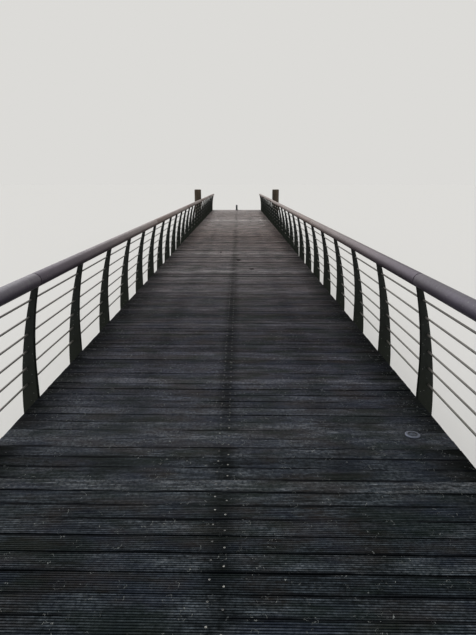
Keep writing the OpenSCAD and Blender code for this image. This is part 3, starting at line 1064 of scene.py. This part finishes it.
# %% Lay the beams and the cap beams
beam_joint = 0.010
beam_ease, cap_ease = 0.006, 0.008

beam = primitive("cube", "sawn_beam", size=1, location=(0, 0, (beam_low.z + beam_high.z) / 2),
                 scale=(beam_high.x - beam_low.x, bay_l - beam_joint, beam_high.z - beam_low.z))
soften(beam, beam_ease, segments=2)
for facing, height, start, end in ((1, 0.17, -2.3, -0.6), (-1, 0.09, 0.4, 2.6), (1, 0.07, 1.2, 2.2)):
    cracked(beam, "Y", "X", facing, beam_low.z + height, start, end)
for name, x in (("left_beam", -outer_beam_x), ("centre_beam", 0), ("right_beam", outer_beam_x)):
    moves = [at((x, near_y + (bay + 0.5) * bay_l, 0)) @ (half_turn if bay % 2 else unmoved)
             for bay in range(bays)]
    fitted(copied(beam, *moves), f"{name}_timbers", beam_wood, "frame_timber", name)

cap = primitive("cube", "sawn_cap", size=1, location=(0, 0, (cap_low.z + cap_high.z) / 2),
                scale=(2 * edge_x, cap_high.y - cap_low.y, cap_high.z - cap_low.z))
soften(cap, cap_ease, segments=2)
for facing, height, start, end in ((-1, 0.13, -1.2, -0.1), (1, 0.08, 0.2, 1.35)):
    cracked(cap, "X", "Y", facing, cap_low.z + height, start, end)
for number in range(1, bays + 2):
    low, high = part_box(f"cap_beam_{number}")
    move = at((0, (low.y + high.y) / 2, 0)) @ (half_turn if number % 2 else unmoved)
    fitted(copied(cap, move), f"cap_timber_{number}", cap_wood, "frame_timber", f"cap_beam_{number}")
thrown_away(beam, cap)
print("beams and cap beams are laid")

# %% [markdown]
# ## Round piles
# A pile is a trunk: not quite round, a little thicker here and thinner there, and split by radial cracks.
# It grows from a short cylinder whose top is extruded upwards ring by ring, each ring a touch wider or
# narrower than the last. The crack lines are upright edges that are bevelled into three, of which the
# middle one is pushed towards the heart.

# %% Model a trunk
foot_size, ring_low, ring_high = 0.99, 0.972, 0.992    # sizes of the rings, as shares of the radius
split_w, split_deep = 0.02, 0.07                       # width and depth of a crack, as shares of the radius


def trunk(name, radius, height, rings, sides, bevel, cracks_at, seed):
    """A round timber at the origin, no wider than radius, with upright cracks at these angles in degrees."""
    own = random.Random(seed)
    step = height / rings
    size = foot_size
    piece = primitive("cylinder", name, vertices=sides, radius=radius * size, depth=step,
                      location=(0, 0, step / 2))
    pick(piece, "FACE", lambda p, n: n.z > 0.9)
    for ring in range(1, rings):
        extrude(0, 0, step)
        new_size = own.uniform(ring_low, ring_high)
        growth = new_size / size
        bpy.ops.transform.resize(value=(growth, growth, 1), center_override=(0, 0, step * ring))
        size = new_size
    if bevel:
        pick(piece, "EDGE", lambda p, d: p.z > height - hair and abs(d.z) < hair)
        bpy.ops.mesh.bevel(offset=bevel, segments=3)
    for degrees in cracks_at:
        angle = math.radians(round(degrees * sides / 360) * 360 / sides)
        ray = Vector((math.cos(angle), math.sin(angle), 0))
        foot, top = own.choice(((0, height), (height * 0.3, height), (0, height * 0.8)))

        def on_line(p, width):
            flat = Vector((p.x, p.y, 0))
            return flat.length > radius / 2 and (flat.normalized() - ray).length * radius < width
        pick(piece, "EDGE", lambda p, d: on_line(p, hair) and abs(d.z) > step / 3 and foot <= p.z <= top)
        bpy.ops.mesh.bevel(offset=radius * split_w, segments=2)
        pick(piece, "VERT", lambda p, n: on_line(p, 1.5 * hair) and foot + step / 2 < p.z < top - step / 2)
        bpy.ops.transform.translate(value=-ray * radius * split_deep)
    shade(piece, 42)
    return piece


print("the rings of a trunk are", ring_low, "to", ring_high, "of its radius")

# %% [markdown]
# The piles under the deck are copies of one trunk, and each is turned its own way. The two mooring piles
# are taller and rise beside the deck, so their trunk has more rings, more cracks and a rounded top.

# %% Stand the piles
pile_low, pile_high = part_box("piles_1")
pile_r = (pile_high.y - pile_low.y) / 2
pile_x = pile_high.x - pile_r
pile = trunk("round_pile", pile_r, pile_high.z, rings=7, sides=36, bevel=0, cracks_at=(20, 135, 250), seed=3)
for number in range(1, bays + 2):
    low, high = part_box(f"piles_{number}")
    middle = (low.y + high.y) / 2
    moves = [at((side * pile_x, middle, 0)) @ Matrix.Rotation(number * 1.1 + side, 4, "Z")
             for side in (-1, 1)]
    fitted(copied(pile, *moves), f"pile_pair_{number}", pile_wood, "pile_timber", f"piles_{number}")

mooring_r = (mooring_high.x - mooring_low.x) / 2
tall = trunk("tall_pile", mooring_r, mooring_high.z, rings=14, sides=56, bevel=0.035,
             cracks_at=(15, 80, 140, 205, 260, 320), seed=12)
for name, x, turn in (("left_mooring_pile", -mooring_x, 2.0), ("right_mooring_pile", mooring_x, 0.4)):
    move = at((x, mooring_y, 0)) @ Matrix.Rotation(turn, 4, "Z")
    fitted(copied(tall, move), f"{name}_trunk", mooring_wood, "pile_timber", name)
print("a mooring pile has", len(tall.data.polygons), "faces")
thrown_away(pile, tall)

# %% [markdown]
# ## Screws in the boards
# Two stainless screws hold each board on each of the three beams. A screw head is a small disc with a
# dished rim and a recess for the bit, set flush in the ribs. There are over 1700 of them, so each has few
# faces. Grime has dulled many, and towards the deck's edges the heads are painted darker still, as shade
# under the railing.

# %% Model a screw head
scratches_per_m = 400.0       # fine scratches to a metre
grimy_per_m = 9.0             # patches to a metre in which the heads are grimy
screw_steel, add = new_material("stainless_screw_head")
place = add("TexCoord").outputs["Object"]
fine = add("TexNoise", {"Vector": place, "Scale": scratches_per_m, "Detail": 3.0})
some = add("TexNoise", {"Vector": place, "Scale": grimy_per_m, "Detail": 2.0, "Roughness": 0.7})
aside = add("Math", add("SeparateXYZ", place).outputs["X"], operation="ABSOLUTE")
grime_and_edge_shade = add("MapRange", some, 0.40, 0.60, 0.0, 0.75)
# Towards the deck's edges the heads get darker: painted shade under the railing
grime_and_edge_shade = add("Math", aside, 0.6, grime_and_edge_shade, operation="MULTIPLY_ADD", use_clamp=True)
steel = add("Mix", fine, "#5c5c59", "#9b9b96", data_type="RGBA")
steel = add("Mix", grime_and_edge_shade, steel, "#26272a", data_type="RGBA")
add("OutputMaterial", add("BsdfPrincipled", {
    "Base Color": steel, "Metallic": 0.9, "Roughness": add("MapRange", fine, 0.0, 1.0, 0.35, 0.55)}))

screw_r, screw_t = 0.0052, 0.003
screw_proud = 0.0006
dish_w, dish_rise = 0.0011, 0.0003
land_w, recess_deep = 0.0018, 0.0014      # the flat ring round the recess, and how deep that goes
screw = primitive("cylinder", "screw_head", vertices=10, radius=screw_r, depth=screw_t,
                  location=(0, 0, screw_proud - screw_t / 2))
pick(screw, "FACE", lambda p, n: n.z > 0.9)
bpy.ops.mesh.inset(thickness=dish_w)
bpy.ops.transform.translate(value=(0, 0, dish_rise))
bpy.ops.mesh.inset(thickness=land_w)
extrude(0, 0, -recess_deep)
pick(screw, "FACE", lambda p, n: n.z < -0.9)
bpy.ops.mesh.delete(type="ONLY_FACE")
shade(screw, 30)
print("a screw head has", len(screw.data.polygons), "faces")

# %% [markdown]
# The two screws on a beam sit a little staggered, so that the board doesn't split, and show as bright dots
# in a double row down the middle of the deck. They follow the skew of their board. The screws of a bay
# become one piece, which stands for no solid.

# %% Drive the screws
beside, stagger = 0.031, 0.020
play_x, play_y = 0.003, 0.004
end_clear = 0.01
outer_row_x = 1.46
aside_at_middle = -0.011      # the middle rows were driven a little left of the beam's centre line
driven = 0.0009               # how far below the walking surface a screw's origin is set
screws_in_all = 0
for bay in range(1, bays + 1):
    start = near_y + (bay - 1) * bay_l + joint_start
    moves = []
    for number in range(round(bay_l / board_pitch)):
        middle = start + (number + 0.5) * board_pitch
        for row_x in (-outer_row_x, 0, outer_row_x):
            for side in (-1, 1):
                x = row_x + side * beside + rng.uniform(-play_x, play_x) + (0 if row_x else aside_at_middle)
                y = middle - side * stagger - skew_at(middle) * x + rng.uniform(-play_y, play_y)
                if y < far_y - end_clear:
                    turn = Matrix.Rotation(rng.uniform(0, 6.28), 4, "Z")
                    moves.append(at((x, y, deck_z - driven)) @ turn)
    screws_in_all += len(moves)
    fitted(copied(screw, *moves), f"deck_screws_{bay}", screw_steel, "screw_steel")
thrown_away(screw)
print(screws_in_all, "screws driven")

# %% [markdown]
# ## The bollard
# The bollard at the far end is a steel post with a domed top on a bolted flange. It is one lathe-like form:
# a disc whose middle is extruded up, and whose top rim is bevelled so widely that it becomes a dome.

# %% Domed bollard
bollard_paint = galvanised("weathered_bollard_steel", ("#35383a", "#5a5e60"), "#39402f", algae_top=0.3,
                           algae_share=0.5, metal=0.4, roughness=0.5)
low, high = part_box("end_bollard")
centre = Vector(((low.x + high.x) / 2, (low.y + high.y) / 2, 0))
flange_r = (high.x - low.x) / 2
flange_t = 0.012
flange_ease = 0.003
fillet = 0.006
bollard_r = 0.057
dome_flat = 0.004
nut_r, nut_t, nut_ease = 0.011, 0.009, 0.0012
nut_ring_r = 0.086
bollard = primitive("cylinder", "bollard", vertices=48, radius=flange_r, depth=flange_t,
                    location=centre + Vector((0, 0, deck_z + flange_t / 2)))
pick(bollard, "EDGE", lambda p, d: p.z > deck_z + flange_t - hair and abs(d.z) < hair)
bpy.ops.mesh.bevel(offset=flange_ease, segments=2)
pick(bollard, "FACE", lambda p, n: n.z > 0.99)
bpy.ops.mesh.inset(thickness=flange_r - flange_ease - bollard_r - fillet)
bpy.ops.mesh.inset(thickness=fillet)
bpy.ops.transform.translate(value=(0, 0, fillet))
extrude(0, 0, high.z - deck_z - flange_t - fillet)
pick(bollard, "EDGE", lambda p, d: p.z > high.z - hair)
bpy.ops.mesh.bevel(offset=bollard_r - dome_flat, segments=10)
shade(bollard)
nut = primitive("cylinder", "flange_nut", vertices=6, radius=nut_r, depth=nut_t,
                location=(0, 0, deck_z + flange_t + nut_t / 2))
soften(nut, nut_ease)
nuts = copied(nut, *[at(centre + nut_ring_r * Vector((math.cos(a), math.sin(a), 0)))
                     for a in [math.pi / 4 + i * math.pi / 2 for i in range(4)]])
thrown_away(nut)
fitted([bollard, *nuts], "domed_bollard", bollard_paint, "bollard_steel", "end_bollard")

# %% [markdown]
# ## The stud
# The stud near the right edge is a low turned disc of metal. Feet have worn its rim bright, and the ring
# that was turned in its top is painted dark, dirt and painted shade in the recess together. That ring is
# real: flat faces are inset and sunk, one inside the other.

# %% Turned stud
low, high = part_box("deck_stud")
stud_r = (high.x - low.x) / 2
stud_h = high.z - deck_z
stud_centre = Vector(((low.x + high.x) / 2, (low.y + high.y) / 2, 0))
ring_wall, ring_w = 0.0012, 0.004         # the turned ring's sloping walls and its floor
ring_deep, ring_back = 0.0024, 0.0022     # how far it goes down, and how far the middle comes up again
turning_gap = 0.0015                      # marks of the lathe's tool, drawn coarser than real ones
rim_share, flat_share = 0.85, 0.3         # rounding as a share of the height, flat rim of the radius
wear_per_m = 90.0                         # worn patches to a metre

stud_metal, add = new_material("worn_turned_stud")
place = add("TexCoord").outputs["Object"]
offset = add("VectorMath", place, stud_centre, operation="SUBTRACT")
flat = add("VectorMath", offset, (1.0, 1.0, 0.0), operation="MULTIPLY")
radius = add("VectorMath", flat, operation="LENGTH")
worn = add("TexNoise", {"Vector": place, "Scale": wear_per_m, "Detail": 5.0, "Roughness": 0.65})
metal = add("Mix", add("MapRange", worn, 0.35, 0.65), "#262a32", "#4b525f", data_type="RGBA")
off_ring = add("Math", add("Math", radius, stud_r * 0.56, operation="SUBTRACT"), operation="ABSOLUTE")
# The dark ring in the turned groove is dirt and painted shade in the recess
for cover, colour in ((add("MapRange", radius, stud_r * 0.60, stud_r * 0.70), "#5a5f6c"),
                      (add("MapRange", off_ring, 0.002, 0.005, 0.9, 0.0), "#1f2124")):
    metal = add("Mix", cover, metal, colour, data_type="RGBA")
turning = add("Math", add("Math", radius, 2 * math.pi / turning_gap, operation="MULTIPLY"), operation="SINE")
add("OutputMaterial", add("BsdfPrincipled", {
    "Base Color": metal, "Metallic": 0.75, "Roughness": add("MapRange", worn, 0.3, 0.7, 0.3, 0.55),
    "Normal": add("Bump", {"Height": turning, "Distance": 0.0001, "Strength": 0.4})}))

stud = primitive("cylinder", "turned_stud", vertices=64, radius=stud_r, depth=stud_h,
                 location=stud_centre + Vector((0, 0, deck_z + stud_h / 2)))
pick(stud, "EDGE", lambda p, d: p.z > high.z - hair / 2 and abs(d.z) < hair / 2)
bpy.ops.mesh.bevel(offset=stud_h * rim_share, segments=5)
pick(stud, "FACE", lambda p, n: n.z > 0.999 and p.z > high.z - hair / 2)
bpy.ops.mesh.inset(thickness=stud_r * flat_share)
bpy.ops.mesh.inset(thickness=ring_wall)
bpy.ops.transform.translate(value=(0, 0, -ring_deep))
bpy.ops.mesh.inset(thickness=ring_w)
bpy.ops.mesh.inset(thickness=ring_wall)
bpy.ops.transform.translate(value=(0, 0, ring_back))
shade(stud, 30)
fitted([stud], "turned_stud", stud_metal, "stud_metal", "deck_stud")
print("the stud has", len(stud.data.polygons), "faces")

# %% [markdown]
# ## Count the triangles
# The bounds of all shown pieces are taken, and the triangles of each piece are counted; the largest piece is
# named.

# %% Count the triangles
low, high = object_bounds()
triangles = {piece.name: sum(len(face.vertices) - 2 for face in piece.data.polygons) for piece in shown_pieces()}
largest = max(triangles, key=triangles.get)
print("triangles in all", sum(triangles.values()), "largest", largest, triangles[largest])
